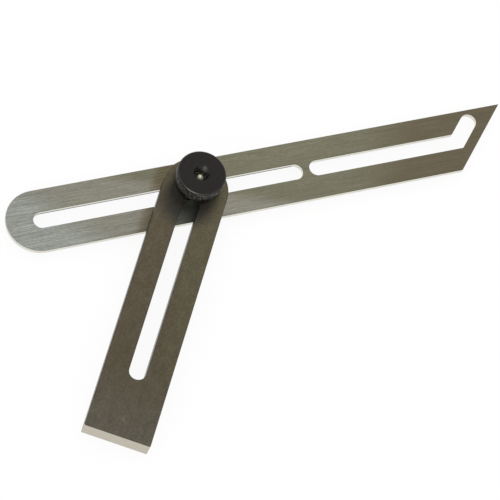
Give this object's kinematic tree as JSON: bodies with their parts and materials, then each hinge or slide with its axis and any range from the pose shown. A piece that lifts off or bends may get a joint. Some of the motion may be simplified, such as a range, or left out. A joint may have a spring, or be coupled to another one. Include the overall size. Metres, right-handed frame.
{
  "type": "sliding bevel",
  "caption": "Slotted steel blade with a slanted end, held to a slotted steel stock by a clamp bolt, washer and knurled thumb nut, for setting and copying angles.",
  "frame": {"origin": "on the clamp bolt's axis, at the flat underside of its head, which is the tool's lowest face", "axes": "+X along the blade towards its slanted end, +Z along the clamp bolt towards the thumb nut; the stock points to -X -Y at rest"},
  "size_m": [0.1999, 0.1062, 0.0194],
  "materials": {
    "satin_stock_steel": "satin ground steel bar, warm grey",
    "ground_blade_steel": "steel strip ground along its length",
    "turned_bolt_steel": "bright turned steel",
    "bright_washer_steel": "plain bright steel",
    "blackened_nut_steel": "blackened steel with a diamond knurl"
  },
  "bodies": {
    "stock": {"stock": "satin_stock_steel"},
    "washer": {"washer": "bright_washer_steel"},
    "clamp_bolt": {"clamp_bolt": "turned_bolt_steel"},
    "blade": {"blade": "ground_blade_steel"},
    "thumb_nut": {"thumb_nut": "blackened_nut_steel"}
  },
  "joints": [
    {"name": "stock_slide", "type": "slide", "parent": "stock", "child": "washer", "axis": [-0.5461, -0.8377, 0], "range_m": [0, 0.079]},
    {"name": "blade_swing", "type": "hinge", "parent": "washer", "child": "clamp_bolt", "pos_m": [0, 0, 0.0038], "axis": [0, 0, 1], "continuous": true},
    {"name": "blade_slide", "type": "slide", "parent": "clamp_bolt", "child": "blade", "axis": [1, 0, 0], "range_m": [-0.0388, 0.0568]},
    {"name": "nut_turn", "type": "hinge", "parent": "clamp_bolt", "child": "thumb_nut", "pos_m": [0, 0, 0.0169], "axis": [0, 0, 1], "range_deg": [0, 720]}
  ]
}
